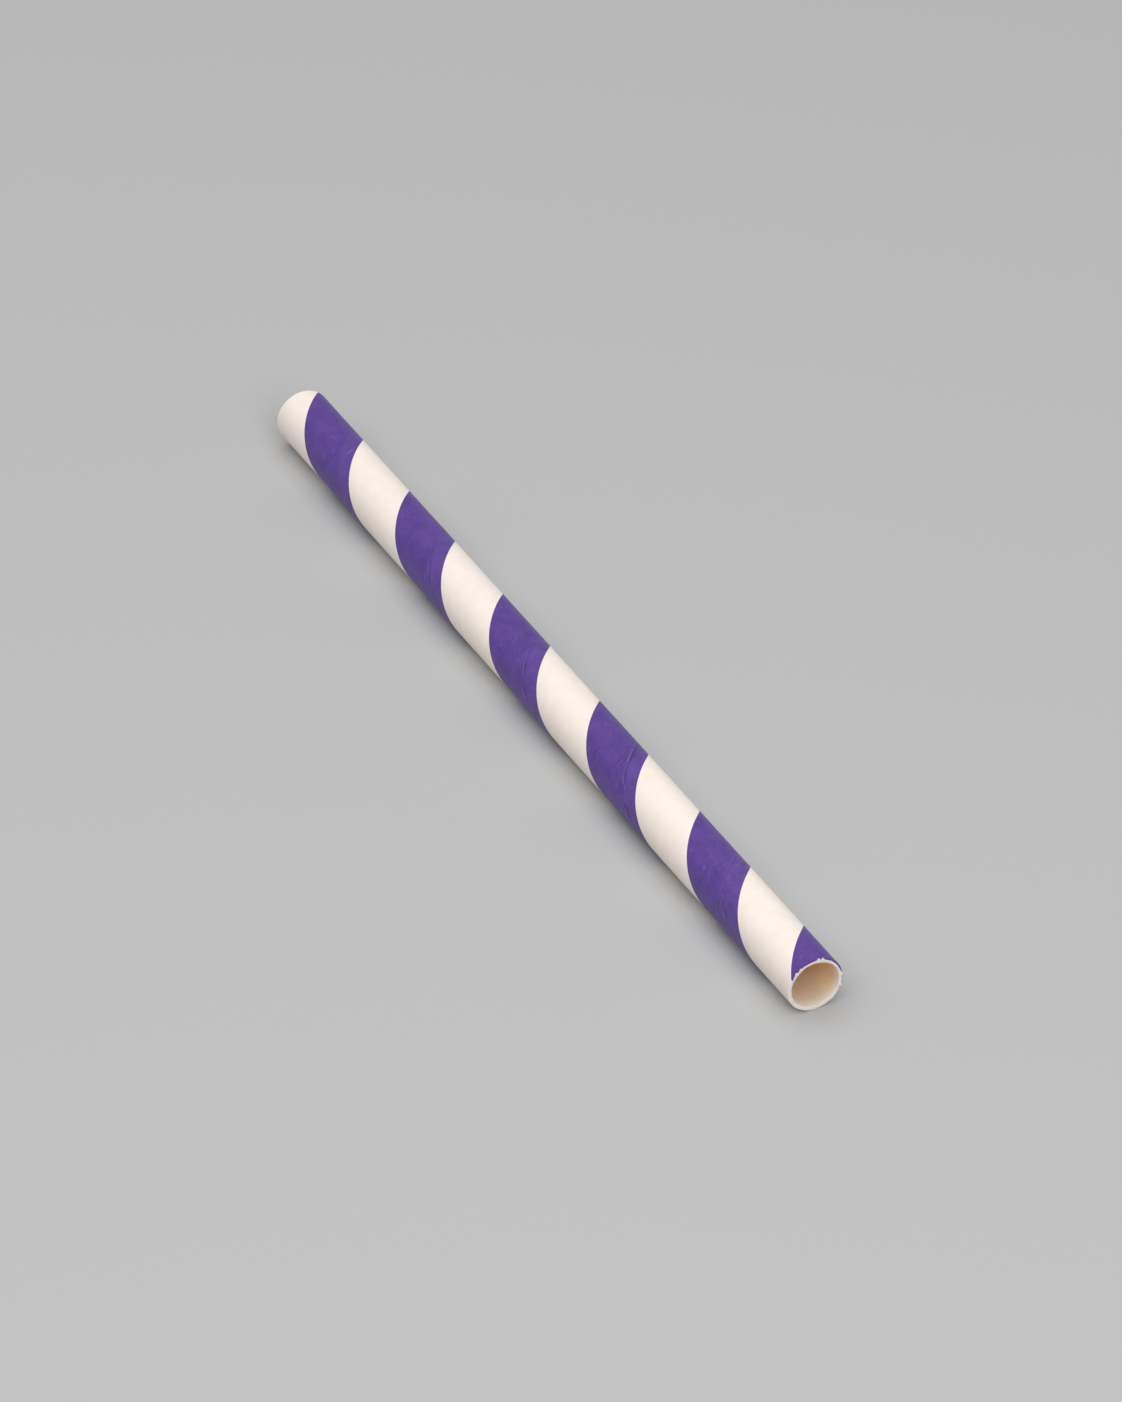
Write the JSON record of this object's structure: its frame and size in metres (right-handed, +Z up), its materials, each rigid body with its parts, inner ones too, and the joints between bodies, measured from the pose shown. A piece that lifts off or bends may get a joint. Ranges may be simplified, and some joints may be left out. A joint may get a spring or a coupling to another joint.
{
  "type": "paper drinking straw",
  "caption": "Wide paper drinking straw lying on its side: a thin round tube of spiral-wound paper tape with square-cut open ends and helical purple and white stripes.",
  "frame": {"origin": "under the middle of the straw, on the surface that it lies on", "axes": "+X along the straw, from the end that starts white on top to the end that stops in purple on top; +Z up"},
  "size_m": [0.197, 0.0104, 0.0105],
  "materials": {
    "printed_paper": "matt uncoated white paper, with a purple stripe printed on the outer tape"
  },
  "bodies": {
    "root": {"straw": "printed_paper"}
  },
  "joints": []
}
